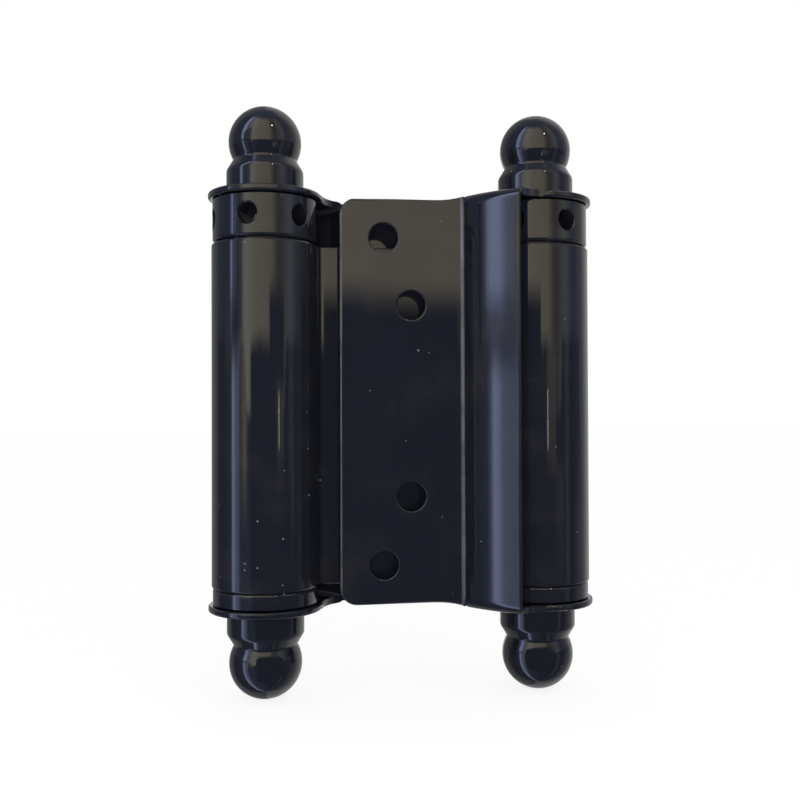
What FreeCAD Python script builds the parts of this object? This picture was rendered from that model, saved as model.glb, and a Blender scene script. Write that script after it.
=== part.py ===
import FreeCAD, Part
import math
import os

from FreeCAD import Vector

# Double action spring hinge for a cafe door, closed, in millimetres.
# Two pressed leaves, one rolled centre web and two sprung barrels with ball tips.
# +Z is up, the door leaf faces -Y, the jamb leaf faces +Y, the origin is the middle of the web.
# The hinge repeats itself when it is turned by half a turn about Z.

# Whole hinge
HINGE_HEIGHT = 75.4         # over the outer faces of the ears
BARREL_SPACING = 50.6       # between the two spindle axes
RUNNING_GAP = 0.3           # between end faces that turn on each other

# Rolled centre web
TUBE_RADIUS = 9.7           # outside of both barrels
WEB_SHEET = 1.1
WEB_BEND = 1.6              # middle radius of the turn from the web into a barrel
SEAM_GAP = 0.25             # between a barrel's free edge and the turn that it closes on
TUBE_EDGE = 0.4             # rounding of the barrels' end edges

# Leaves
LEAF_SHEET = 1.2
LEAF_OFFSET = 5.0           # mounting face from the middle of the web
FREE_EDGE_GAP = 3.6         # between a leaf's free edge and the other barrel, along X
FLAT_STEP = 1.1             # ears stand this far past the flat's ends
FLARE_LENGTH = 5.0          # stretch beside the crease where the flat's ends widen towards the ears
FLARE_RISE = 0.7
CORNER_RADIUS = 3.0         # free corners of the flat
EDGE_ROUND = 0.4            # rounding of the flat's edges
CREASE_RADIUS = 0.7         # hollow side of the bend between flat and wall
DRAW_START = 0.1            # extra rounding of the flat's end edges, at the free edge
DRAW_CREASE = 1.0           # the same at the crease, where the press drew the edges back
WALL_ANGLE = 44.0           # between the flat and the wall beside the barrel, in degrees
WALL_GAP = 3.1              # between a barrel and the wall
WALL_WIDTH = 11.95
WALL_CROWN = 37.0           # radius of the wall's outer face
WALL_EDGE = 0.3             # rounding of the wall's free edge
EAR_BEND = 2.0              # outer radius of the fold between wall and ear
EAR_LIP = 0.6               # ear stands this far past the barrel
EAR_RIM = 0.4               # rounding of the ear's edge
NECK_RADIUS = 7.0           # hollow of the ear's neck on its crease side
TIP_RADIUS = 5.0            # hollow on the side of the wall's free edge

# Screw holes in the leaves
SCREW_HOLE_RADIUS = 2.6
SCREW_SINK = 0.5            # depth and growth of the countersink on the inner face
SCREW_RIM = 0.3             # rounding on the mounting face
OUTER_HOLE_END = 7.1        # outer holes from the flat's end
OUTER_HOLE_SIDE = 7.9       # outer holes from the flat's free edge
HOLE_STEP_UP = 12.2         # outer hole to inner hole, along Z
HOLE_STEP_SIDE = 5.0        # outer hole to inner hole, along X

# Spindles and ball tips
SPINDLE_RADIUS = 2.5
SPINDLE_FIT = 0.03          # in ears and ball tips
TURNING_FIT = 0.05          # in collars and anchors
NECK_RING_RADIUS = 7.0
NECK_RING_HEIGHT = 4.2
NECK_RING_ROUND = 1.5
STEM_RADIUS = 5.75          # where the ring's shoulder meets the ball
STEM_GROOVE = 0.5
BALL_RADIUS = 6.6
BALL_RISE = 9.5             # ball centre above the ear
BORE_END_GAP = 0.3

# Tension collars
COLLAR_STEP = 0.2           # collar smaller than the barrel
COLLAR_HEIGHT = 7.5
COLLAR_EDGE = 0.6
SPIGOT_LENGTH = 3.0
SPIGOT_FIT = 0.08
TENSION_HOLES = 6
TENSION_HOLE_RADIUS = 1.8
TENSION_HOLE_DEPTH = 4.2
TENSION_HOLE_RISE = 4.1     # above the collar's lower edge
TENSION_HOLE_RIM = 0.3
DOOR_COLLAR_CLOCK = 22.5    # first hole from straight ahead, in degrees
JAMB_COLLAR_CLOCK = -19.0

# Spring anchors
ANCHOR_HEIGHT = 2.8
ANCHOR_FIT = 0.02

# Torsion springs
SPRING_WIRE = 1.6           # square wire
SPRING_GAP = 1.1            # to the barrel's inner wall
SPRING_TURNS = 11.0
SPRING_SEAT = 0.2           # end coils to the spigots
TANG_WIDTH = 1.3            # square end bent upright, dressed thinner than the wire
TANG_TURN = 8.0             # from the coil's end, in degrees
TANG_LENGTH = 2.0
TANG_FIT = 0.1

# Levels and radii that follow
AXIS = BARREL_SPACING / 2
EAR_TOP = HINGE_HEIGHT / 2
EAR_UNDER = EAR_TOP - LEAF_SHEET
FLAT_END = EAR_TOP - FLAT_STEP
COLLAR_TOP = EAR_UNDER - RUNNING_GAP
COLLAR_BOTTOM = COLLAR_TOP - COLLAR_HEIGHT
TUBE_TOP = COLLAR_BOTTOM - RUNNING_GAP
ANCHOR_BOTTOM = -EAR_UNDER + RUNNING_GAP
TUBE_BOTTOM = ANCHOR_BOTTOM + ANCHOR_HEIGHT
TUBE_INSIDE = TUBE_RADIUS - WEB_SHEET
COLLAR_RADIUS = TUBE_RADIUS - COLLAR_STEP
EAR_RADIUS = TUBE_RADIUS + EAR_LIP
SPRING_RADIUS = TUBE_INSIDE - SPRING_GAP - SPRING_WIRE / 2
SPRING_BOTTOM = TUBE_BOTTOM + SPIGOT_LENGTH + SPRING_SEAT + SPRING_WIRE / 2
SPRING_TOP = TUBE_TOP - SPIGOT_LENGTH - SPRING_SEAT - SPRING_WIRE / 2
LOW_TANG = TANG_TURN
HIGH_TANG = 360 * SPRING_TURNS - TANG_TURN

UP = Vector(0, 0, 1)
ORIGIN = Vector(0, 0, 0)


def polar(radius, degrees):
    angle = math.radians(degrees)
    return Vector(radius * math.cos(angle), radius * math.sin(angle), 0)


def degrees_of(vector):
    return math.degrees(math.atan2(vector.y, vector.x))


def cylinder(radius, low, high, place=ORIGIN):
    return Part.makeCylinder(radius, high - low, place + UP * low)


def sector(inner, outer, start, stop, low, high, place=ORIGIN):
    """A stretch of round wall about a vertical line, between two angles."""
    middle = (start + stop) / 2
    outside = Part.Arc(polar(outer, start), polar(outer, middle), polar(outer, stop)).toShape()
    if inner > 0:
        inside = Part.Arc(polar(inner, stop), polar(inner, middle), polar(inner, start)).toShape()
        ends = [Part.makeLine(polar(outer, stop), polar(inner, stop)),
                Part.makeLine(polar(inner, start), polar(outer, start))]
        outline = [outside, ends[0], inside, ends[1]]
    else:
        ends = [Part.makeLine(polar(outer, stop), ORIGIN), Part.makeLine(ORIGIN, polar(outer, start))]
        outline = [outside] + ends
    face = Part.Face(Part.Wire(outline))
    face.translate(place + UP * low)
    return face.extrude(UP * (high - low))


def turned(edges):
    """A solid of revolution about Z from the edges of a closed outline in the XZ plane."""
    return Part.Face(Part.Wire(edges)).revolve(ORIGIN, UP, 360)


def fused(solids):
    return solids[0].fuse(solids[1:]).removeSplitter()


def rounded(solid, radius, chosen):
    """Rounds the edges for which the test is true."""
    return solid.makeFillet(radius, [edge for edge in solid.Edges if chosen(edge)])


def is_ring(edge, radius, level):
    """True for a level circular edge of this radius and height."""
    if edge.Degenerated or not isinstance(edge.Curve, Part.Circle):
        return False
    return abs(edge.Curve.Radius - radius) < 1e-6 and abs(edge.CenterOfMass.z - level) < 1e-6


def on_barrel(solid, side):
    """Moves a piece from the Z axis to the door's barrel, or to the jamb's by half a turn."""
    solid.translate(Vector(AXIS, 0, 0))
    if side == "jamb":
        solid.rotate(ORIGIN, UP, 180)
    return solid


def wall_frame():
    """Crease, wall end and centre of the wall's crown, in plan, for the door leaf."""
    angle = math.radians(WALL_ANGLE)
    along = Vector(math.cos(angle), -math.sin(angle), 0)
    inward = Vector(math.sin(angle), math.cos(angle), 0)
    reach = TUBE_RADIUS + WALL_GAP + LEAF_SHEET
    crease_x = AXIS - (reach - LEAF_OFFSET * math.cos(angle)) / math.sin(angle)
    crease = Vector(crease_x, -LEAF_OFFSET, 0)
    end = crease + along * WALL_WIDTH
    rise = math.sqrt(WALL_CROWN ** 2 - (WALL_WIDTH / 2) ** 2)
    centre = (crease + end) * 0.5 + inward * rise
    return crease, end, centre


def flat_block(crease):
    """The flat with square corners, its ends flaring out beside the crease."""
    low_x = -AXIS + TUBE_RADIUS + FREE_EDGE_GAP
    flare_x = crease.x - FLARE_LENGTH
    radius = (FLARE_LENGTH ** 2 + FLARE_RISE ** 2) / (2 * FLARE_RISE)
    half_turn = math.asin(FLARE_LENGTH / radius) / 2
    along = radius * math.sin(half_turn)
    rise = radius * (1 - math.cos(half_turn))

    def spot(x, level, sign):
        return Vector(x, -LEAF_OFFSET, sign * level)

    flared = FLAT_END + FLARE_RISE
    outline = [Part.makeLine(spot(low_x, FLAT_END, 1), spot(low_x, FLAT_END, -1)),
               Part.makeLine(spot(crease.x, flared, 1), spot(crease.x, flared, -1))]
    for sign in (1, -1):
        outline.append(Part.makeLine(spot(low_x, FLAT_END, sign), spot(flare_x, FLAT_END, sign)))
        outline.append(Part.Arc(spot(flare_x, FLAT_END, sign), spot(flare_x + along, FLAT_END + rise, sign),
                                spot(crease.x, flared, sign)).toShape())
    face = Part.Face(Part.Wire(Part.__sortEdges__(outline)))
    return face.extrude(Vector(0, LEAF_SHEET, 0))


def drawn_block(crease):
    """The flat's block with end edges that fall back towards the crease, as the press drew them."""
    block = flat_block(crease)
    for level in (FLAT_END, -FLAT_END):
        long_edge = [edge for edge in block.Edges if abs(edge.CenterOfMass.z - level) < 1e-6
                     and abs(edge.CenterOfMass.y + LEAF_OFFSET) < 1e-6][0]
        starts_low = long_edge.firstVertex(True).X < long_edge.lastVertex(True).X
        ends = (DRAW_START, DRAW_CREASE) if starts_low else (DRAW_CREASE, DRAW_START)
        block = block.makeFillet(ends[0], ends[1], [long_edge])
    return block


def leaf_flat(crease):
    """The flat that lies on the door, with its four countersunk screw holes."""
    flat = flat_block(crease)
    free_edge = flat.BoundBox.XMin
    flat = rounded(flat, CORNER_RADIUS, lambda edge: abs(edge.CenterOfMass.x - free_edge) < 1e-6
                   and abs(abs(edge.CenterOfMass.z) - FLAT_END) < 1e-6)
    flat = rounded(flat, EDGE_ROUND, lambda edge: abs(edge.CenterOfMass.x - free_edge) < 1e-6
                   and edge.BoundBox.YLength < 1e-6)
    flat = flat.common(drawn_block(crease))
    outer_x = free_edge + OUTER_HOLE_SIDE
    outer_z = FLAT_END - OUTER_HOLE_END
    places = [(outer_x, outer_z), (outer_x + HOLE_STEP_SIDE, outer_z - HOLE_STEP_UP)]
    through = Vector(0, 1, 0)
    for x, z in places + [(x, -z) for x, z in places]:
        mouth = Vector(x, -LEAF_OFFSET, z)
        sink_start = mouth + through * (LEAF_SHEET - SCREW_SINK)
        flat = flat.cut(Part.makeCylinder(SCREW_HOLE_RADIUS, LEAF_SHEET, mouth, through))
        flat = flat.cut(Part.makeCone(SCREW_HOLE_RADIUS, SCREW_HOLE_RADIUS + SCREW_SINK, SCREW_SINK,
                                      sink_start, through))
    return rounded(flat, SCREW_RIM, lambda edge: isinstance(edge.Curve, Part.Circle)
                   and abs(edge.Curve.Radius - SCREW_HOLE_RADIUS) < 1e-6
                   and abs(edge.CenterOfMass.y + LEAF_OFFSET) < 1e-6)


def leaf_wall(crease, end, centre):
    """The crowned wall beside the barrel, folded over at both ends towards the ears."""
    outward = (crease - centre).normalize()

    def spot(depth, level):
        return centre + outward * (WALL_CROWN - depth) + UP * level

    def fold(depth, level, radius, sign):
        """Quarter arc from a level face to the upright face that lies at this depth."""
        slant = radius * (1 - math.sqrt(0.5))
        return Part.Arc(spot(depth + radius, level), spot(depth + slant, level - sign * slant),
                        spot(depth, level - sign * radius)).toShape()

    inner_bend = EAR_BEND - LEAF_SHEET
    flange = 2 * EAR_BEND
    outer_run = Part.makeLine(spot(0, EAR_TOP - EAR_BEND), spot(0, EAR_BEND - EAR_TOP))
    inner_run = Part.makeLine(spot(LEAF_SHEET, EAR_BEND - EAR_TOP), spot(LEAF_SHEET, EAR_TOP - EAR_BEND))
    outline = [outer_run, inner_run]
    for sign in (1, -1):
        outline.append(fold(0, sign * EAR_TOP, EAR_BEND, sign))
        outline.append(fold(LEAF_SHEET, sign * EAR_UNDER, inner_bend, sign))
        outline.append(Part.makeLine(spot(EAR_BEND, sign * EAR_TOP), spot(flange, sign * EAR_TOP)))
        outline.append(Part.makeLine(spot(EAR_BEND, sign * EAR_UNDER), spot(flange, sign * EAR_UNDER)))
        outline.append(Part.makeLine(spot(flange, sign * EAR_TOP), spot(flange, sign * EAR_UNDER)))
    section = Part.Face(Part.Wire(Part.__sortEdges__(outline)))
    sweep = math.degrees(2 * math.asin(WALL_WIDTH / 2 / WALL_CROWN))
    wall = section.revolve(centre, UP, sweep)
    edge_plane = (end - centre).normalize().cross(UP)

    def at_free_edge(edge):
        """True for the upright edges and fold arcs of the wall's free edge."""
        points = edge.discretize(3)
        in_plane = all(abs((point - end).dot(edge_plane)) < 1e-4 for point in points)
        return in_plane and edge.BoundBox.ZLength > EAR_BEND - LEAF_SHEET - 1e-3

    return rounded(wall, WALL_EDGE, at_free_edge)


def crease_hollow(crease, centre):
    """Fills the sharp inside of the bend between flat and wall to its hollow radius."""
    turn = math.radians(90 - degrees_of(centre - crease))
    setback = CREASE_RADIUS * math.tan(turn / 2)
    on_flat = crease - Vector(setback, 0, 0)
    hollow = on_flat - Vector(0, CREASE_RADIUS, 0)
    swing = Part.makeLine(crease, centre)
    swing.rotate(centre, UP, math.degrees(setback / WALL_CROWN))
    on_wall = swing.firstVertex(True).Point
    middle = hollow + (crease - hollow).normalize() * CREASE_RADIUS
    root = crease + (Vector(0, 1, 0) + (centre - crease).normalize()) * (LEAF_SHEET / 4)
    outline = [Part.Arc(on_flat, middle, on_wall).toShape(),
               Part.makeLine(on_wall, root),
               Part.makeLine(root, on_flat)]
    reach = EAR_TOP - EAR_BEND
    filler = Part.Face(Part.Wire(outline)).extrude(UP * (2 * reach))
    filler.translate(UP * -reach)
    return filler


def ear_ring():
    """The round end of an ear about the spindle, with a rounded rim, top ear."""
    hole = SPINDLE_RADIUS + SPINDLE_FIT
    rim = EAR_RADIUS - EAR_RIM
    slant = EAR_RIM * math.sqrt(0.5)
    low, high = EAR_UNDER, EAR_TOP
    points = [Vector(hole, 0, low), Vector(rim, 0, low), Vector(EAR_RADIUS, 0, low + EAR_RIM),
              Vector(EAR_RADIUS, 0, high - EAR_RIM), Vector(rim, 0, high), Vector(hole, 0, high)]
    edges = [Part.makeLine(points[0], points[1]),
             Part.Arc(points[1], Vector(rim + slant, 0, low + EAR_RIM - slant), points[2]).toShape(),
             Part.makeLine(points[2], points[3]),
             Part.Arc(points[3], Vector(rim + slant, 0, high - EAR_RIM + slant), points[4]).toShape(),
             Part.makeLine(points[4], points[5]),
             Part.makeLine(points[5], points[0])]
    return turned(edges)


def neck_hollow(start, radius, hand):
    """Hollow arc in plan that starts at a point and runs onto the ear's ring, and where it ends."""
    axis = Vector(AXIS, 0, 0)
    base = start - axis
    reach = EAR_RADIUS + radius
    along = (reach ** 2 - radius ** 2 + base.Length ** 2) / (2 * base.Length)
    across = hand * math.sqrt(reach ** 2 - along ** 2)
    toward = Vector(base).normalize()
    centre = axis + toward * along + Vector(toward.y, -toward.x, 0) * across
    touch = axis + (centre - axis).normalize() * EAR_RADIUS
    middle = centre + ((touch + start) * 0.5 - centre).normalize() * radius
    return Part.Arc(start, middle, touch).toShape(), touch


def neck_plate(crease, end, centre):
    """Plate from the fold to the ear's ring, hollowed on both sides, top ear."""
    axis = Vector(AXIS, 0, 0)
    near_crease = crease + (centre - crease).normalize() * EAR_BEND
    near_end = end + (centre - end).normalize() * EAR_BEND
    along_fold = centre + ((near_crease + near_end) * 0.5 - centre).normalize() * (WALL_CROWN - EAR_BEND)
    crease_side, crease_touch = neck_hollow(near_crease, NECK_RADIUS, 1)
    end_side, end_touch = neck_hollow(near_end, TIP_RADIUS, -1)
    outline = [Part.Arc(near_crease, along_fold, near_end).toShape(),
               end_side,
               Part.makeLine(end_touch, axis),
               Part.makeLine(axis, crease_touch),
               crease_side]
    plate = Part.Face(Part.Wire(Part.__sortEdges__(outline))).extrude(UP * LEAF_SHEET)
    plate.translate(UP * EAR_UNDER)
    return plate.cut(cylinder(SPINDLE_RADIUS + SPINDLE_FIT, EAR_UNDER, EAR_TOP, axis))


def leaf(side):
    crease, end, centre = wall_frame()
    bend_end = FLAT_END + FLARE_RISE
    bend = sector(0, LEAF_SHEET, degrees_of(centre - crease), 90, -bend_end, bend_end, crease)
    ring = ear_ring()
    ring.translate(Vector(AXIS, 0, 0))
    neck = neck_plate(crease, end, centre)
    solids = [leaf_flat(crease), bend, crease_hollow(crease, centre), leaf_wall(crease, end, centre)]
    for top_piece in (ring, neck):
        solids.append(top_piece)
        solids.append(top_piece.mirror(ORIGIN, UP))
    solid = fused(solids)
    if side == "jamb":
        solid.rotate(ORIGIN, UP, 180)
    return solid


def centre_web():
    """One sheet: a flat web whose ends turn aside and roll up into the two barrels."""
    half = WEB_SHEET / 2
    tube_middle = TUBE_RADIUS - half
    bend_x = math.sqrt(tube_middle ** 2 + 2 * tube_middle * WEB_BEND)
    turn = math.degrees(math.asin(WEB_BEND / (tube_middle + WEB_BEND)))
    # The free edge stops short of the bend's outer face by the seam gap.
    shut = WEB_BEND + half + SEAM_GAP
    bend_reach = math.hypot(bend_x, WEB_BEND)
    opening = math.acos((bend_reach ** 2 + TUBE_RADIUS ** 2 - shut ** 2) / (2 * bend_reach * TUBE_RADIUS))
    free_edge = 360 + turn - math.degrees(opening)
    solids = [Part.makeBox(2 * (AXIS - bend_x), WEB_SHEET, TUBE_TOP - TUBE_BOTTOM,
                           Vector(bend_x - AXIS, -half, TUBE_BOTTOM))]
    for half_turn in (0, 180):
        tube = sector(TUBE_INSIDE, TUBE_RADIUS, turn, free_edge, TUBE_BOTTOM, TUBE_TOP, Vector(-AXIS, 0, 0))
        bend = sector(WEB_BEND - half, WEB_BEND + half, 180 + turn, 270, TUBE_BOTTOM, TUBE_TOP,
                      Vector(bend_x - AXIS, WEB_BEND, 0))
        for piece in (tube, bend):
            piece.rotate(ORIGIN, UP, half_turn)
            solids.append(piece)
    web = fused(solids)
    return rounded(web, TUBE_EDGE, lambda edge: is_ring(edge, TUBE_RADIUS, TUBE_TOP)
                   or is_ring(edge, TUBE_RADIUS, TUBE_BOTTOM))


def spindle():
    reach = EAR_TOP + BALL_RISE
    return cylinder(SPINDLE_RADIUS, -reach, reach)


def finial():
    """Ball tip on a ring with a sloped shoulder that bears on the ear, upper one."""
    ball_level = EAR_TOP + BALL_RISE
    shoulder = EAR_TOP + NECK_RING_HEIGHT
    stem_level = ball_level - math.sqrt(BALL_RADIUS ** 2 - STEM_RADIUS ** 2)
    points = [Vector(0, 0, EAR_TOP), Vector(NECK_RING_RADIUS, 0, EAR_TOP),
              Vector(NECK_RING_RADIUS, 0, shoulder), Vector(STEM_RADIUS, 0, stem_level)]
    top = Vector(0, 0, ball_level + BALL_RADIUS)
    edges = [Part.makeLine(start, stop) for start, stop in zip(points, points[1:])]
    edges.append(Part.Arc(points[-1], Vector(BALL_RADIUS, 0, ball_level), top).toShape())
    edges.append(Part.makeLine(top, points[0]))
    tip = turned(edges)
    tip = rounded(tip, NECK_RING_ROUND, lambda edge: is_ring(edge, NECK_RING_RADIUS, shoulder))
    tip = rounded(tip, STEM_GROOVE, lambda edge: is_ring(edge, STEM_RADIUS, stem_level))
    return tip.cut(cylinder(SPINDLE_RADIUS + SPINDLE_FIT, EAR_TOP, ball_level + BORE_END_GAP))


def tang(low, high, clearance, angle):
    """Upright end of the spring's wire, or its socket."""
    width = TANG_WIDTH + 2 * clearance
    piece = Part.makeBox(width, width, high - low, Vector(SPRING_RADIUS - width / 2, -width / 2, low))
    piece.rotate(ORIGIN, UP, angle)
    return piece


def tension_collar(clock):
    """Turning collar with blind holes for a tommy bar, and a spigot that enters the barrel."""
    body = cylinder(COLLAR_RADIUS, COLLAR_BOTTOM, COLLAR_TOP)
    body = rounded(body, COLLAR_EDGE, lambda edge: is_ring(edge, COLLAR_RADIUS, COLLAR_BOTTOM))
    spigot_end = TUBE_TOP - SPIGOT_LENGTH
    spigot = cylinder(TUBE_INSIDE - SPIGOT_FIT, spigot_end, COLLAR_BOTTOM)
    collar = fused([body, spigot])
    collar = collar.cut(cylinder(SPINDLE_RADIUS + TURNING_FIT, spigot_end, COLLAR_TOP))
    collar = collar.cut(tang(spigot_end, spigot_end + TANG_LENGTH + TANG_FIT, TANG_FIT, HIGH_TANG))
    level = UP * (COLLAR_BOTTOM + TENSION_HOLE_RISE)
    rim_start = COLLAR_RADIUS - TENSION_HOLE_RIM
    for index in range(TENSION_HOLES):
        out = polar(1, clock - 90 + index * 360 / TENSION_HOLES)
        hole = Part.makeCylinder(TENSION_HOLE_RADIUS, 2 * TENSION_HOLE_DEPTH,
                                 out * (COLLAR_RADIUS - TENSION_HOLE_DEPTH) + level, out)
        rim = Part.makeCone(TENSION_HOLE_RADIUS, TENSION_HOLE_RADIUS + 2 * TENSION_HOLE_RIM,
                            2 * TENSION_HOLE_RIM, out * rim_start + level, out)
        collar = collar.cut(hole.fuse(rim))
    return collar


def spring_anchor():
    """Bottom plug, pressed into the barrel, that holds the spring's lower tang."""
    body = cylinder(COLLAR_RADIUS, ANCHOR_BOTTOM, TUBE_BOTTOM)
    body = rounded(body, COLLAR_EDGE, lambda edge: is_ring(edge, COLLAR_RADIUS, TUBE_BOTTOM))
    spigot_end = TUBE_BOTTOM + SPIGOT_LENGTH
    spigot = cylinder(TUBE_INSIDE - ANCHOR_FIT, ANCHOR_BOTTOM, spigot_end)
    anchor = fused([body, spigot])
    anchor = anchor.cut(cylinder(SPINDLE_RADIUS + TURNING_FIT, ANCHOR_BOTTOM, spigot_end))
    return anchor.cut(tang(spigot_end - TANG_LENGTH - TANG_FIT, spigot_end, TANG_FIT, LOW_TANG))


def torsion_spring():
    """Right-hand coil of square wire with an upright tang at each end."""
    height = SPRING_TOP - SPRING_BOTTOM
    half = SPRING_WIRE / 2
    path = Part.makeHelix(height / SPRING_TURNS, height, SPRING_RADIUS)
    corners = [Vector(SPRING_RADIUS + x, 0, z) for x, z in
               ((-half, -half), (half, -half), (half, half), (-half, half), (-half, -half))]
    coil = Part.Wire(path).makePipeShell([Part.makePolygon(corners)], True, True)
    coil.translate(UP * SPRING_BOTTOM)
    reach = half + SPRING_SEAT + TANG_LENGTH
    low_tang = tang(SPRING_BOTTOM - reach, SPRING_BOTTOM, 0, LOW_TANG)
    high_tang = tang(SPRING_TOP, SPRING_TOP + reach, 0, HIGH_TANG)
    return coil.fuse([low_tang, high_tang])


def main():
    os.makedirs("parts", exist_ok=True)
    pieces = {"centre_web": centre_web()}
    clocks = {"door": DOOR_COLLAR_CLOCK, "jamb": JAMB_COLLAR_CLOCK + 180}
    for side in ("jamb", "door"):
        pieces[side + "_leaf"] = leaf(side)
        pieces[side + "_spindle"] = on_barrel(spindle(), side)
        pieces[side + "_top_finial"] = on_barrel(finial(), side)
        pieces[side + "_bottom_finial"] = on_barrel(finial().mirror(ORIGIN, UP), side)
        pieces[side + "_tension_collar"] = on_barrel(tension_collar(clocks[side]), side)
        pieces[side + "_spring_anchor"] = on_barrel(spring_anchor(), side)
        pieces[side + "_spring"] = on_barrel(torsion_spring(), side)
    for name, solid in pieces.items():
        solid.exportStep("parts/" + name + ".step")
        print(name, solid.isValid(), len(solid.Solids), round(solid.Volume, 1))


main()
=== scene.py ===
"""Looks and stage of a double action cafe hinge, laid out as a Blender add-on.

All solids come from the frame. This file gives them their finishes, cuts the hidden springs into halves
and sets up the studio.
"""

import math

import bmesh
import bpy
from bpy.props import FloatProperty, FloatVectorProperty, PointerProperty
from mathutils import Matrix, Vector


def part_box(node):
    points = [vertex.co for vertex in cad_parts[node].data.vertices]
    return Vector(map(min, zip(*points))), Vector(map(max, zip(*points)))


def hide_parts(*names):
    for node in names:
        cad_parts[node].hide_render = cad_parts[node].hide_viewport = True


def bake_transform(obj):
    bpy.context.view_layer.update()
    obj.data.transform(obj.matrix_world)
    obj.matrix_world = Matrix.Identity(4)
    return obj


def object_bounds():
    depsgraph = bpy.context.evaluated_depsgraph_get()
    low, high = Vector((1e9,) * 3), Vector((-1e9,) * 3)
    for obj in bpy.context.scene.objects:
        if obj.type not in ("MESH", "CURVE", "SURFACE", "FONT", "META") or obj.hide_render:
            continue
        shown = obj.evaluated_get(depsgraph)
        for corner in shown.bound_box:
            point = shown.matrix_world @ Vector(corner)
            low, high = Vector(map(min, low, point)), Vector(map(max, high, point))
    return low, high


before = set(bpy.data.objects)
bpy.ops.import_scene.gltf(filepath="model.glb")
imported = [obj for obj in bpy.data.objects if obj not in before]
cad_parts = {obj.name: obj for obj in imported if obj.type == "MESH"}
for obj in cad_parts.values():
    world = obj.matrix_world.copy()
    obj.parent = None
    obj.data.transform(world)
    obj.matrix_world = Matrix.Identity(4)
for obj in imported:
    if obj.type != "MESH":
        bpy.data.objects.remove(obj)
CAD_LOW, CAD_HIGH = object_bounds()

bl_info = {
    "name": "Cafe Hinge",
    "version": (1, 0, 0),
    "blender": (4, 5, 0),
    "location": "View3D > Sidebar > Hinge",
    "description": "Finishes and studio for a double action cafe hinge",
    "category": "Object",
}

MM = 0.001
IMAGE_PIXELS = 800
SENSOR_MM = 36.0
WHITE = (1.0, 1.0, 1.0, 1.0)

# Enamel
ENAMEL_IOR = 1.52
THIN_PATCH = 9 * MM         # size of the places where the coat is thin
THIN_FADE = (0.45, 0.75)    # noise where such a place starts and where it is full
THIN_ROUGHNESS = 0.03       # added there
HIGHLIGHT_PATCH = 6 * MM          # length of the stretches where the painted edge highlight is stronger and weaker
HIGHLIGHT_FADE = (0.35, 0.6)      # noise where such a stretch starts and where it is full
HIGHLIGHT_LEAST = 0.55            # share of the painted edge highlight where it is weakest
SPECK_LOT = 0.72            # share of the cells that have no speck
SPECK_RIM = 0.03            # softness of a speck's rim, as a share of a cell
SPECK_HEIGHT = 4.0          # against the orange peel
SPECK_ROUGHNESS = 0.35      # added on a speck

# How the sheet's waves are stretched. A smaller number makes them longer that way.
LEAF_WAVES = (0.6, 0.6, 0.25)
WEB_WAVES = (1.0, 1.0, 0.12)
TURNED_WAVES = (1.0, 1.0, 1.0)

# Steel, with its drawing marks stretched in the same way
STEEL_ROUGHNESS = 0.26
STAIN_SIZE = 4 * MM
STAIN_FADE = (0.4, 0.7)     # noise where a stain starts and where it is full
STAIN_SHADE = 0.7
STAIN_ROUGHNESS = 0.08
MARK_DEPTH = 0.004 * MM
MARK_STRENGTH = 0.4
MARK_ROUGHNESS = 0.14
SPINDLE_MARKS = (1.0, 1.0, 0.02)
SPRING_MARKS = (0.3, 0.3, 1.0)

# Springs, which are cut in two
SPRING_END = 4 * MM         # height at each end of a spring
SPRING_CUT = 0.01 * MM      # half of the gap between the halves
SPRING_MERGE = 0.0005 * MM  # corners nearer than this are one

# Stage
FLOOR_WHITE = 1.13          # strength of the floor's glow
LAMP_TINT = (1.0, 0.97, 0.90)
SCREEN_MARGIN = 2           # of a screen's sheet round its outline, in softnesses
RIPPLE_LENGTH = 8           # of a screen's upper edge, in softnesses
WARM_ACROSS = (40 * MM, 70 * MM)
WARM_UP = (-60 * MM, 20 * MM)
CLIP_START = 5 * MM

# Room, with heights as sines of elevation
CEILING_SOFT = 0.012        # half of the ceiling's soft edge
FOOT_FADE = (-0.02, -0.14)
CROWN_FADE = (0.86, 0.98)
CROWN = (0.25, 0.28, 0.36, 1)
BAR = (0.30, 0.32, 0.42, 1)
BAR_LIFT = 0.085            # of the window's bar
BAR_FADE = (0.060, 0.010)
BAR_COVER = 0.80
BAR_LEFT = (-96, -88)       # degrees of heading
BAR_RIGHT = (-56, -62)
OPENING_FADE = (0.90, 0.99)  # cosines of the angle from straight behind

# Screens in millimetres: distance in front, left, right and softness, foot, top and softness. Then the
# share of a reflection that the screen takes.
SCREENS = (
    ("dark_screen", 184, (-132, 122, 12), (-300, 24, 6), 1.0),
    ("dark_card", 60, (-16, 21, 2), (4, 26, 5), 1.0),
    ("low_card", 60, (-52, 82, 8), (-120, -17, 6), 1.0),
    ("side_card", 16, (-58, -37, 1.5), (12, 60, 3), 0.75),
)

# Lamps: place, width and height in millimetres, power in watts, and whether gloss shows it.
LAMPS = (
    ("upper_lamp", (350, -760, 860), (60, 60), 0.5, True),
    ("strip_lamp", (49, -137, -4), (2, 18), 0.0012, True),
    ("front_lamp", (-23, -181, -2), (40, 40), 0.13, False),
)

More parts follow.
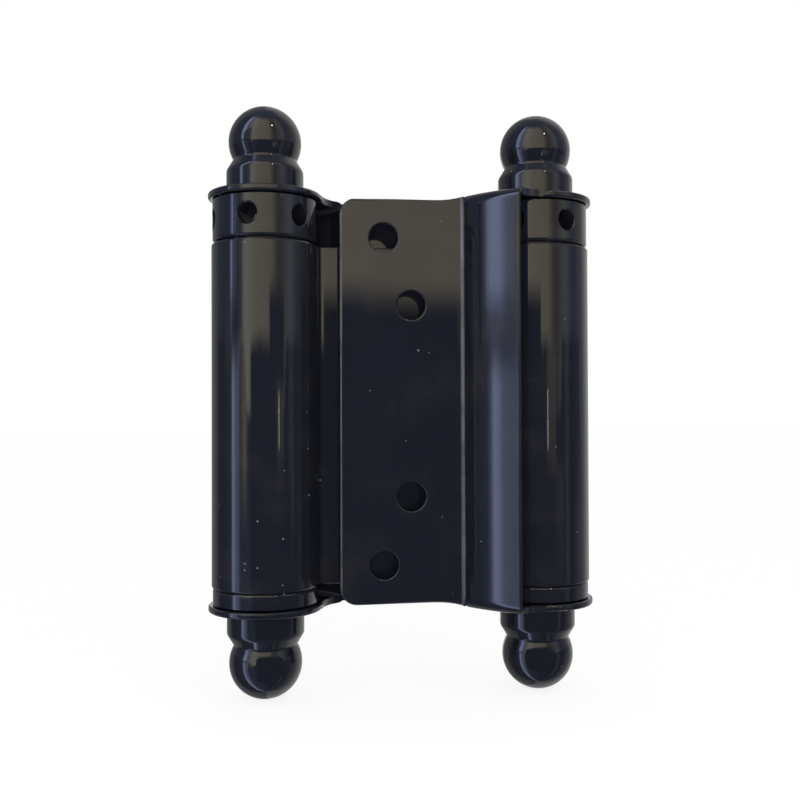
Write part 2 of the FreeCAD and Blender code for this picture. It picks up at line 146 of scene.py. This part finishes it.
# What gloss sees of the room: rows of heading in degrees, level and tint.
PLAIN = (1.0, 1.0, 1.0)
WARM = (1.00, 0.87, 0.64)
PALE = (1.00, 0.96, 0.84)
COOL = (0.86, 1.00, 1.55)
NAVY = (0.62, 0.74, 1.20)
HIGH_ROWS = (
    (-180, 0.3, PLAIN), (-130, 0.3, PLAIN), (-108, 0.25, NAVY), (-86, 0.2, COOL), (-81, 0.25, COOL),
    (-79, 0.6, COOL), (-76.5, 2.0, COOL), (-74, 2.7, COOL), (-69, 2.7, COOL), (-66, 2.0, COOL),
    (-63.5, 1.3, COOL), (-58, 0.9, PLAIN), (-52, 1.7, PALE), (-40, 1.9, PALE), (-16, 1.55, WARM),
    (10, 1.38, WARM), (30, 0.35, WARM), (53, 0.7, PLAIN), (75, 0.3, NAVY), (97, 0.35, PLAIN),
    (126, 0.7, PLAIN), (180, 0.6, PLAIN))
LOW_ROWS = (
    (-180, 0.3, PLAIN), (-130, 0.3, PLAIN), (-110, 0.10, NAVY), (-84, 0.14, COOL), (-77.5, 0.24, COOL),
    (-75, 0.8, COOL), (-73, 2.3, COOL), (-71.5, 2.7, COOL), (-69, 2.1, COOL), (-66, 1.25, COOL),
    (-59, 1.05, COOL), (-54, 0.5, WARM), (-43, 1.25, WARM), (-36, 0.2, NAVY), (46, 0.10, NAVY),
    (57, 0.30, PLAIN), (66, 0.10, NAVY), (92, 0.2, NAVY), (100, 0.35, PLAIN), (126, 0.7, PLAIN),
    (180, 0.6, PLAIN))
FOOT_ROWS = (
    (-180, 0.3, PLAIN), (-130, 0.3, PLAIN), (-110, 0.10, NAVY), (-84, 0.14, COOL), (-77.5, 0.24, COOL),
    (-75, 0.7, COOL), (-73, 2.1, COOL), (-71.5, 2.6, COOL), (-69, 2.1, COOL), (-66, 1.25, COOL),
    (-59, 0.95, COOL), (-54, 0.3, NAVY), (46, 0.10, NAVY), (57, 0.30, PLAIN), (66, 0.10, NAVY),
    (100, 0.35, PLAIN), (126, 0.7, PLAIN), (180, 0.6, PLAIN))
# Where the ceiling starts, as the sine of its elevation
EDGE_ROWS = ((-45, 0.078, PLAIN), (-38, 0.0, PLAIN), (40, 0.0, PLAIN), (46, 0.078, PLAIN))


class Wire:
    """An output socket. Arithmetic on it adds Math nodes to its own sheet."""

    def __init__(self, sheet, socket):
        self.sheet = sheet
        self.socket = socket

    def __add__(self, other):
        return self.sheet.math("ADD", self, other)

    def __radd__(self, other):
        return self.sheet.math("ADD", other, self)

    def __sub__(self, other):
        return self.sheet.math("SUBTRACT", self, other)

    def __rsub__(self, other):
        return self.sheet.math("SUBTRACT", other, self)

    def __mul__(self, other):
        return self.sheet.math("MULTIPLY", self, other)

    def __rmul__(self, other):
        return self.sheet.math("MULTIPLY", other, self)

    def __lt__(self, other):
        return self.sheet.math("LESS_THAN", self, other)

    def __gt__(self, other):
        return self.sheet.math("GREATER_THAN", self, other)


class NodeSheet:
    """A node tree that is filled node by node."""

    def __init__(self, tree):
        self.tree = tree
        tree.nodes.clear()

    def add(self, kind, settings=None, sockets=None, output=0):
        """Adds a node, first its settings, then the values or wires of its sockets."""
        node = self.tree.nodes.new(kind)
        for name, value in (settings or {}).items():
            if name == "stops":
                self.set_stops(node.color_ramp, value)
            else:
                setattr(node, name, value)
        for name, value in (sockets or {}).items():
            if isinstance(value, Wire):
                self.tree.links.new(value.socket, node.inputs[name])
            else:
                node.inputs[name].default_value = value
        if not node.outputs:
            return None
        return Wire(self, node.outputs[output])

    def set_stops(self, ramp, stops):
        while len(ramp.elements) > 1:
            ramp.elements.remove(ramp.elements[-1])
        ramp.interpolation = "EASE"
        for index, (place, colour) in enumerate(stops):
            element = ramp.elements[0] if index == 0 else ramp.elements.new(place)
            element.position = place
            element.color = (*colour, 1.0)

    def math(self, operation, first, second):
        return self.add("ShaderNodeMath", {"operation": operation}, {0: first, 1: second})

    def place(self):
        """Object coordinates."""
        return self.add("ShaderNodeTexCoord", output="Object")

    def axis(self, vector, index):
        """One of a vector's three parts."""
        return self.add("ShaderNodeSeparateXYZ", sockets={0: vector}, output=index)

    def size_of(self, value):
        """A value without its sign."""
        return self.add("ShaderNodeMath", {"operation": "ABSOLUTE"}, {0: value})

    def fade(self, value, start, stop):
        """Smooth step from 0 at start to 1 at stop."""
        return self.add("ShaderNodeMapRange", {"interpolation_type": "SMOOTHSTEP"},
                        {"Value": value, "From Min": start, "From Max": stop})

    def mix(self, factor, first, second):
        """Mix of two colours."""
        return self.add("ShaderNodeMix", {"data_type": "RGBA"}, {0: factor, 6: first, 7: second}, output=2)

    def noise(self, place, size, detail):
        """Noise with lumps of about this size in metres."""
        return self.add("ShaderNodeTexNoise", {"noise_dimensions": "3D"},
                        {"Vector": place, "Scale": 1 / size, "Detail": detail, "Roughness": 0.55})


class EnamelSettings(bpy.types.PropertyGroup):
    """The stoved gloss black enamel on every outer piece."""

    colour: FloatVectorProperty(name="Colour", description="Enamel seen without reflections", subtype="COLOR",
                                size=3, min=0, max=1, default=(0.0092, 0.0106, 0.0162))
    bloom: FloatVectorProperty(name="Bloom", description="Paler tone where the coat is thin", subtype="COLOR",
                               size=3, min=0, max=1, default=(0.0150, 0.0155, 0.0190))
    dust: FloatVectorProperty(name="Dust", description="Colour of the specks in the coat", subtype="COLOR",
                              size=3, min=0, max=1, default=(0.16, 0.16, 0.17))
    # The next two settings make a painted highlight along a leaf's crease and free edge, laid in patches like
    # a rubbed coat.
    edge_highlight: FloatVectorProperty(name="Rubbed", description="Coat where edges are rubbed", subtype="COLOR",
                                size=3, min=0, max=1, default=(0.095, 0.097, 0.115))
    highlight_width: FloatProperty(name="Rub width", description="Reach of the rubbed coat from an edge",
                             unit="LENGTH", min=0, default=0.42 * MM)
    crease: FloatProperty(name="Crease", description="Bend of a leaf from the middle of the hinge",
                          unit="LENGTH", default=10.3 * MM)
    roughness: FloatProperty(name="Roughness", description="Roughness of the clean coat", subtype="FACTOR",
                             min=0, max=1, default=0.045)
    peel_size: FloatProperty(name="Peel size", description="Width of one orange peel lump", unit="LENGTH",
                             min=0, default=1.1 * MM)
    peel_depth: FloatProperty(name="Peel depth", description="Depth of the orange peel", unit="LENGTH",
                              min=0, default=0.0022 * MM)
    wave_size: FloatProperty(name="Wave size", description="Length of the waves in the pressed sheet",
                             unit="LENGTH", min=0, default=14 * MM)
    wave_depth: FloatProperty(name="Wave depth", description="Depth of those waves", unit="LENGTH",
                              min=0, default=0.030 * MM)
    speck_spacing: FloatProperty(name="Speck spacing", description="Distance between specks of dust",
                                 unit="LENGTH", min=0, default=2.2 * MM)
    speck_size: FloatProperty(name="Speck size", description="Radius of the largest specks", unit="LENGTH",
                              min=0, default=0.16 * MM)


class SteelSettings(bpy.types.PropertyGroup):
    """Bare steel of the spindles and the springs."""

    spindle: FloatVectorProperty(name="Spindle", description="Drawn rod", subtype="COLOR",
                                 size=3, min=0, max=1, default=(0.46, 0.46, 0.47))
    spring: FloatVectorProperty(name="Spring", description="Oiled spring wire", subtype="COLOR",
                                size=3, min=0, max=1, default=(0.16, 0.155, 0.15))
    grain: FloatProperty(name="Grain", description="Distance between drawing marks", unit="LENGTH",
                         min=0, default=0.25 * MM)


class StageSettings(bpy.types.PropertyGroup):
    """Camera, floor and room."""

    distance: FloatProperty(name="Camera distance", description="From the middle of the hinge", unit="LENGTH",
                            min=0, default=182.3 * MM)
    azimuth: FloatProperty(name="Camera azimuth", description="From straight ahead", subtype="ANGLE",
                           default=math.radians(-7.2))
    elevation: FloatProperty(name="Camera elevation", description="Above the horizon", subtype="ANGLE",
                             default=math.radians(-0.75))
    roll: FloatProperty(name="Camera roll", description="About the line of sight", subtype="ANGLE",
                        default=math.radians(-0.2))
    focal: FloatProperty(name="Focal length", description="In pixels of the image", min=1, default=982.0)
    middle_x: FloatProperty(name="Middle, across", description="Pixel where the hinge's middle lies",
                            subtype="PIXEL", default=403.1)
    middle_y: FloatProperty(name="Middle, down", description="Pixel where the hinge's middle lies",
                            subtype="PIXEL", default=401.4)
    floor: FloatVectorProperty(name="Floor", description="Pale floor", subtype="COLOR",
                               size=3, min=0, max=1, default=(0.95, 0.95, 0.95))
    floor_size: FloatProperty(name="Floor size", description="Side of the floor", unit="LENGTH",
                              min=0, default=6.0)
    floor_glow: FloatProperty(name="Floor glow", description="Share of plain white in what the eye sees",
                              subtype="FACTOR", min=0, max=1, default=0.75)
    daylight: FloatProperty(name="Daylight", description="Strength of the soft light from all sides",
                            min=0, default=0.6)
    screen: FloatVectorProperty(name="Screen", description="Dark screens, seen in gloss", subtype="COLOR",
                                size=3, min=0, max=1, default=(0.056, 0.067, 0.108))
    screen_side: FloatVectorProperty(name="Screen side", description="Warmer right side of the screens",
                                     subtype="COLOR", size=3, min=0, max=1, default=(0.55, 0.49, 0.40))
    room_radius: FloatProperty(name="Room radius", description="Of the shell that gloss reflects",
                               unit="LENGTH", min=0, default=4.0)


def settings():
    return bpy.context.scene.cafe_hinge


def painted_edge_highlight(sheet, place, hand):
    """Mask of a painted highlight along a leaf's free edge and crease, patchy like a rubbed coat."""
    look = settings().enamel
    across = sheet.axis(place, 0) * hand
    from_crease = sheet.size_of(across - look.crease)
    at_crease = sheet.fade(from_crease, look.highlight_width, look.highlight_width / 2)
    at_edge = sheet.fade(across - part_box("door_leaf")[0].x, look.highlight_width, look.highlight_width / 2)
    patchy = sheet.fade(sheet.noise(place, HIGHLIGHT_PATCH, 3.0), *HIGHLIGHT_FADE)
    return sheet.math("MAXIMUM", at_crease, at_edge) * (HIGHLIGHT_LEAST + patchy * (1 - HIGHLIGHT_LEAST))


def enamel(name, wave_stretch, hand=0):
    """Gloss black enamel: a dark coat with orange peel, sheet waves, thin places and dust specks.

    A leaf gives its hand, 1 for the door's and -1 for the jamb's, and gets a painted highlight along its
    crease and free edge.
    """
    look = settings().enamel
    material = bpy.data.materials.new(name)
    material.use_nodes = True
    sheet = NodeSheet(material.node_tree)
    place = sheet.place()
    peel = sheet.noise(place, look.peel_size, 2.0)
    stretched = sheet.add("ShaderNodeMapping", sockets={"Vector": place, "Scale": wave_stretch})
    wave = sheet.noise(stretched, look.wave_size, 1.0)
    thin = sheet.fade(sheet.noise(place, THIN_PATCH, 3.0), *THIN_FADE)

    cell = {"feature": "F1", "voronoi_dimensions": "3D"}
    cell_sockets = {"Vector": place, "Scale": 1 / look.speck_spacing}
    reach = sheet.add("ShaderNodeTexVoronoi", cell, cell_sockets)
    lot = sheet.add("ShaderNodeSeparateColor", sockets={
        "Color": sheet.add("ShaderNodeTexVoronoi", cell, cell_sockets, output="Color")})
    chosen = sheet.fade(lot, SPECK_LOT, 1.0)
    radius = look.speck_size / look.speck_spacing
    speck = sheet.fade(reach - chosen * radius, SPECK_RIM, 0.0) * (lot > SPECK_LOT)

    coat = sheet.mix(thin, (*look.colour, 1), (*look.bloom, 1))
    height = wave * (look.wave_depth / look.peel_depth) + peel + speck * SPECK_HEIGHT
    if hand:
        # Painted highlight along the crease and the free edge, patchy like a rubbed coat.
        coat = sheet.mix(painted_edge_highlight(sheet, place, hand), coat, (*look.edge_highlight, 1))
    colour = sheet.mix(speck, coat, (*look.dust, 1))
    roughness = look.roughness + thin * THIN_ROUGHNESS + speck * SPECK_ROUGHNESS
    normal = sheet.add("ShaderNodeBump", sockets={
        "Strength": 1.0, "Distance": look.peel_depth, "Height": height})
    shader = sheet.add("ShaderNodeBsdfPrincipled", sockets={
        "Base Color": colour, "Roughness": roughness, "IOR": ENAMEL_IOR, "Normal": normal})
    sheet.add("ShaderNodeOutputMaterial", sockets={"Surface": shader})
    return material


def steel(name, colour, grain_stretch):
    """Bare steel with fine marks drawn along one direction."""
    look = settings().steel
    material = bpy.data.materials.new(name)
    material.use_nodes = True
    sheet = NodeSheet(material.node_tree)
    place = sheet.place()
    along = sheet.add("ShaderNodeMapping", sockets={"Vector": place, "Scale": grain_stretch})
    grain = sheet.noise(along, look.grain, 3.0)
    stain = sheet.fade(sheet.noise(place, STAIN_SIZE, 4.0), *STAIN_FADE)
    dark = tuple(channel * STAIN_SHADE for channel in colour)
    shader = sheet.add("ShaderNodeBsdfPrincipled", sockets={
        "Base Color": sheet.mix(stain, (*colour, 1), (*dark, 1)),
        "Metallic": 1.0,
        "Roughness": STEEL_ROUGHNESS + grain * MARK_ROUGHNESS + stain * STAIN_ROUGHNESS,
        "Normal": sheet.add("ShaderNodeBump", sockets={
            "Strength": MARK_STRENGTH, "Distance": MARK_DEPTH, "Height": grain})})
    sheet.add("ShaderNodeOutputMaterial", sockets={"Surface": shader})
    return material


def paint(nodes, material):
    """Gives the material to these solids of the frame."""
    for node in nodes:
        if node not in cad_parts:
            raise RuntimeError("the frame has no solid named " + node)
        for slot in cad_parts[node].material_slots:
            slot.material = material


def wind_spring(scene, side, material):
    """Stands two halves for a spring, cut at mid height.
    """
    node = side + "_spring"
    low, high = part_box(node)
    middle = (low + high) / 2
    foot = Vector((middle.x, middle.y, low.z + SPRING_END))
    top = Vector((middle.x, middle.y, high.z - SPRING_END))
    halves = (
        ("lower", -1, ("web", side), foot, middle),
        ("upper", 1, (side, side + "_collar"), middle, top),
    )
    for name, upward, bodies, start, end in halves:
        shape = bmesh.new()
        shape.from_mesh(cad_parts[node].data)
        bmesh.ops.remove_doubles(shape, verts=shape.verts, dist=SPRING_MERGE)
        cut = bmesh.ops.bisect_plane(
            shape, geom=[*shape.verts, *shape.edges, *shape.faces], dist=SPRING_MERGE,
            plane_co=middle + Vector((0, 0, upward * SPRING_CUT)), plane_no=(0, 0, -upward), clear_outer=True)
        rim = [edge for edge in cut["geom_cut"] if isinstance(edge, bmesh.types.BMEdge)]
        bmesh.ops.holes_fill(shape, edges=rim, sides=0)
        bmesh.ops.triangulate(shape, faces=[face for face in shape.faces if len(face.verts) > 4])
        if any(not edge.is_manifold for edge in shape.edges):
            raise RuntimeError("the cut left " + node + " open")
        mesh = bpy.data.meshes.new(node + "_" + name)
        shape.to_mesh(mesh)
        shape.free()
        mesh.materials.append(material)
        half = bpy.data.objects.new(mesh.name, mesh)
        scene.collection.objects.link(half)
        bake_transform(half)
        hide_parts(node)


def stage_object(scene, name, shape):
    """Links a shape to the scene as part of the stage and gives it an empty material."""
    mesh = bpy.data.meshes.new(name)
    shape.to_mesh(mesh)
    shape.free()
    thing = bpy.data.objects.new(name, mesh)
    scene.collection.objects.link(thing)
    material = bpy.data.materials.new(name)
    material.use_nodes = True
    mesh.materials.append(material)
    return thing, NodeSheet(material.node_tree)


def make_floor(scene, look):
    """Pale floor that keeps the shadow and shows white where nothing shades it."""
    shape = bmesh.new()
    bmesh.ops.create_grid(shape, x_segments=1, y_segments=1, size=look.floor_size / 2)
    bmesh.ops.translate(shape, verts=shape.verts, vec=(0, 0, CAD_LOW.z))
    floor, sheet = stage_object(scene, "floor", shape)
    seen = sheet.add("ShaderNodeLightPath", output="Is Camera Ray")
    matt = sheet.add("ShaderNodeBsdfDiffuse", sockets={"Color": (*look.floor, 1)})
    glow = sheet.add("ShaderNodeEmission", sockets={"Color": WHITE, "Strength": FLOOR_WHITE})
    both_seen = sheet.add("ShaderNodeMixShader", sockets={0: seen * look.floor_glow, 1: matt, 2: glow})
    sheet.add("ShaderNodeOutputMaterial", sockets={"Surface": both_seen})
    floor.visible_glossy = False


def light_world(scene, look):
    """White background for the eye and for reflections, plain soft light for the rest."""
    world = bpy.data.worlds.new("room")
    world.use_nodes = True
    scene.world = world
    sheet = NodeSheet(world.node_tree)
    seen = sheet.add("ShaderNodeLightPath", output="Is Camera Ray")
    mirrored = sheet.add("ShaderNodeLightPath", output="Is Glossy Ray")
    through = sheet.add("ShaderNodeLightPath", output="Is Transmission Ray")
    white = sheet.math("MINIMUM", seen + mirrored + through, 1.0)
    light = sheet.add("ShaderNodeBackground", sockets={
        "Color": WHITE, "Strength": look.daylight + white * (1.0 - look.daylight)})
    sheet.add("ShaderNodeOutputWorld", sockets={"Surface": light})


def turn(degrees):
    """Place on a ramp of a heading, which runs from -180 to 180 degrees."""
    return 0.5 + degrees / 360


def heading_ramp(sheet, rows, heading):
    """Colours that change with the heading, from rows of heading, level and tint."""
    stops = [(turn(degrees), tuple(level * part for part in tint)) for degrees, level, tint in rows]
    return sheet.add("ShaderNodeValToRGB", {"stops": stops}, {0: heading})


def make_room(scene, look):
    """Shell that gloss reflects: bright ceiling, dark lower half, a window, open at the back."""
    shape = bmesh.new()
    bmesh.ops.create_uvsphere(shape, u_segments=64, v_segments=32, radius=look.room_radius)
    room, sheet = stage_object(scene, "room_shell", shape)
    way = sheet.add("ShaderNodeVectorMath", {"operation": "NORMALIZE"}, {0: sheet.place()})
    east, north, lift = (sheet.axis(way, index) for index in range(3))
    heading = sheet.math("ARCTAN2", east, north * -1.0) * (0.5 / math.pi) + 0.5
    high, low, foot, edge = (
        heading_ramp(sheet, rows, heading) for rows in (HIGH_ROWS, LOW_ROWS, FOOT_ROWS, EDGE_ROWS))
    brink = sheet.add("ShaderNodeRGBToBW", sockets={0: edge})
    ceiling = sheet.fade(lift - brink, -CEILING_SOFT, CEILING_SOFT)
    sides = sheet.mix(ceiling, sheet.mix(sheet.fade(lift, *FOOT_FADE), low, foot), high)
    at_window = sheet.fade(heading, *map(turn, BAR_LEFT)) * sheet.fade(heading, *map(turn, BAR_RIGHT))
    at_bar = sheet.fade(sheet.size_of(lift - BAR_LIFT), *BAR_FADE) * at_window
    barred = sheet.mix(at_bar * BAR_COVER, sides, BAR)
    colour = sheet.mix(sheet.fade(lift, *CROWN_FADE), barred, CROWN)
    glow = sheet.add("ShaderNodeEmission", sockets={"Color": colour, "Strength": 1.0})
    opening = sheet.fade(north, *OPENING_FADE)
    clear = sheet.add("ShaderNodeBsdfTransparent")
    shell = sheet.add("ShaderNodeMixShader", sockets={0: opening, 1: glow, 2: clear})
    sheet.add("ShaderNodeOutputMaterial", sockets={"Surface": shell})
    only_in_gloss(room)


def make_screen(scene, look, name, distance, span, rise, cover):
    """Dark upright screen with soft edges in front of the hinge, that darkens reflections."""
    left, right, side_soft = (length * MM for length in span)
    low, high, soft = (length * MM for length in rise)
    width = right - left + 2 * SCREEN_MARGIN * side_soft
    height = high - low + 2 * SCREEN_MARGIN * soft
    shape = bmesh.new()
    bmesh.ops.create_grid(shape, x_segments=1, y_segments=1, size=0.5)
    bmesh.ops.rotate(shape, verts=shape.verts, matrix=Matrix.Rotation(math.pi / 2, 3, "X"))
    bmesh.ops.scale(shape, verts=shape.verts, vec=(width, 1, height))
    bmesh.ops.translate(shape, verts=shape.verts, vec=((left + right) / 2, -distance * MM, (low + high) / 2))
    screen, sheet = stage_object(scene, name, shape)
    place = sheet.place()
    across, upward = sheet.axis(place, 0), sheet.axis(place, 2)
    ripple = (sheet.noise(place, RIPPLE_LENGTH * soft, 1.0) - 0.5) * soft
    inside = (sheet.fade(across, left - side_soft, left + side_soft)
              * sheet.fade(across, right + side_soft, right - side_soft))
    level = sheet.fade(upward + ripple, high + soft, high - soft) * sheet.fade(upward, low - soft, low + soft)
    warmth = sheet.fade(across, *WARM_ACROSS) * sheet.fade(upward, *WARM_UP)
    colour = sheet.mix(warmth, (*look.screen, 1), (*look.screen_side, 1))
    clear = sheet.add("ShaderNodeBsdfTransparent")
    glow = sheet.add("ShaderNodeEmission", sockets={"Color": colour, "Strength": 1.0})
    shader = sheet.add("ShaderNodeMixShader", sockets={0: inside * level * cover, 1: clear, 2: glow})
    sheet.add("ShaderNodeOutputMaterial", sockets={"Surface": shader})
    only_in_gloss(screen)


def only_in_gloss(thing):
    """Hides a stage object from all but glossy rays."""
    thing.visible_camera = False
    thing.visible_diffuse = False
    thing.visible_transmission = False
    thing.visible_shadow = False


def hang_lamp(scene, name, place, size, energy, in_gloss):
    """Small warm lamp that faces the hinge."""
    data = bpy.data.lights.new(name, "AREA")
    data.shape = "RECTANGLE"
    data.size, data.size_y = (length * MM for length in size)
    data.energy = energy
    data.color = LAMP_TINT
    lamp = bpy.data.objects.new(name, data)
    scene.collection.objects.link(lamp)
    spot = Vector(place) * MM
    lamp.matrix_world = Matrix.Translation(spot) @ spot.to_track_quat("Z", "Y").to_matrix().to_4x4()
    lamp.visible_camera = False
    lamp.visible_glossy = in_gloss


def set_camera(scene, look):
    """Camera at the photograph's viewing angle."""
    data = bpy.data.cameras.new("camera")
    data.sensor_fit = "HORIZONTAL"
    data.sensor_width = SENSOR_MM
    data.lens = look.focal * SENSOR_MM / IMAGE_PIXELS
    data.shift_x = (IMAGE_PIXELS / 2 - look.middle_x) / IMAGE_PIXELS
    data.shift_y = (look.middle_y - IMAGE_PIXELS / 2) / IMAGE_PIXELS
    data.clip_start = CLIP_START
    camera = bpy.data.objects.new("camera", data)
    scene.collection.objects.link(camera)
    level = math.cos(look.elevation)
    away = Vector((math.sin(look.azimuth) * level, -math.cos(look.azimuth) * level, math.sin(look.elevation)))
    aim = (-away).to_track_quat("-Z", "Y").to_matrix().to_4x4()
    camera.matrix_world = Matrix.Translation(away * look.distance) @ aim @ Matrix.Rotation(look.roll, 4, "Z")
    scene.camera = camera


def both(ending):
    """The names of the two like pieces."""
    return ["jamb_" + ending, "door_" + ending]


class HINGE_OT_leaves(bpy.types.Operator):
    """Enamels the two pressed leaves"""

    bl_idname = "cafe_hinge.leaves"
    bl_label = "Leaves"

    def execute(self, context):
        for side, hand in (("door", 1), ("jamb", -1)):
            paint([side + "_leaf"], enamel(side + "_leaf_enamel", LEAF_WAVES, hand))
        return {"FINISHED"}


class HINGE_OT_web(bpy.types.Operator):
    """Enamels the rolled centre web"""

    bl_idname = "cafe_hinge.web"
    bl_label = "Centre web"

    def execute(self, context):
        paint(["centre_web"], enamel("web_enamel", WEB_WAVES))
        return {"FINISHED"}


class HINGE_OT_turned_pieces(bpy.types.Operator):
    """Enamels the turned collars, anchors and ball tips"""

    bl_idname = "cafe_hinge.turned_pieces"
    bl_label = "Collars, anchors and ball tips"

    def execute(self, context):
        turned = both("tension_collar") + both("spring_anchor") + both("top_finial") + both("bottom_finial")
        paint(turned, enamel("turned_enamel", TURNED_WAVES))
        return {"FINISHED"}


class HINGE_OT_steel_pieces(bpy.types.Operator):
    """Gives the spindles and springs their bare steel and cuts the springs in two"""

    bl_idname = "cafe_hinge.steel_pieces"
    bl_label = "Spindles and springs"

    def execute(self, context):
        look = settings().steel
        paint(both("spindle"), steel("drawn_steel", look.spindle, SPINDLE_MARKS))
        wire = steel("spring_wire", look.spring, SPRING_MARKS)
        for side in ("jamb", "door"):
            wind_spring(context.scene, side, wire)
        return {"FINISHED"}


class HINGE_OT_stage(bpy.types.Operator):
    """Makes the floor, the world, the room, the screens, the lamps and the camera"""

    bl_idname = "cafe_hinge.stage"
    bl_label = "Stage"

    def execute(self, context):
        scene = context.scene
        look = settings().stage
        make_floor(scene, look)
        light_world(scene, look)
        make_room(scene, look)
        for screen in SCREENS:
            make_screen(scene, look, *screen)
        for lamp in LAMPS:
            hang_lamp(scene, *lamp)
        set_camera(scene, look)
        scene.view_settings.view_transform = "Standard"
        return {"FINISHED"}


class HingeSettings(bpy.types.PropertyGroup):
    """All settings of the hinge."""

    enamel: PointerProperty(type=EnamelSettings, name="Enamel")
    steel: PointerProperty(type=SteelSettings, name="Steel")
    stage: PointerProperty(type=StageSettings, name="Stage")


OPERATORS = (HINGE_OT_leaves, HINGE_OT_web, HINGE_OT_turned_pieces, HINGE_OT_steel_pieces, HINGE_OT_stage)


class HINGE_PT_panel(bpy.types.Panel):
    """Lists the hinge's operators and settings"""

    bl_idname = "HINGE_PT_panel"
    bl_label = "Cafe Hinge"
    bl_space_type = "VIEW_3D"
    bl_region_type = "UI"
    bl_category = "Hinge"

    def draw(self, context):
        for operator in OPERATORS:
            self.layout.operator(operator.bl_idname)
        for group in (settings().enamel, settings().steel, settings().stage):
            box = self.layout.box()
            for name in group.__annotations__:
                box.prop(group, name)


CLASSES = (EnamelSettings, SteelSettings, StageSettings, HingeSettings) + OPERATORS + (HINGE_PT_panel,)


def register():
    for each in CLASSES:
        bpy.utils.register_class(each)
    bpy.types.Scene.cafe_hinge = PointerProperty(type=HingeSettings)


def unregister():
    del bpy.types.Scene.cafe_hinge
    for each in reversed(CLASSES):
        bpy.utils.unregister_class(each)


def main():
    register()
    bpy.ops.cafe_hinge.leaves()
    bpy.ops.cafe_hinge.web()
    bpy.ops.cafe_hinge.turned_pieces()
    bpy.ops.cafe_hinge.steel_pieces()
    bpy.ops.cafe_hinge.stage()


if __name__ == "__main__":
    main()
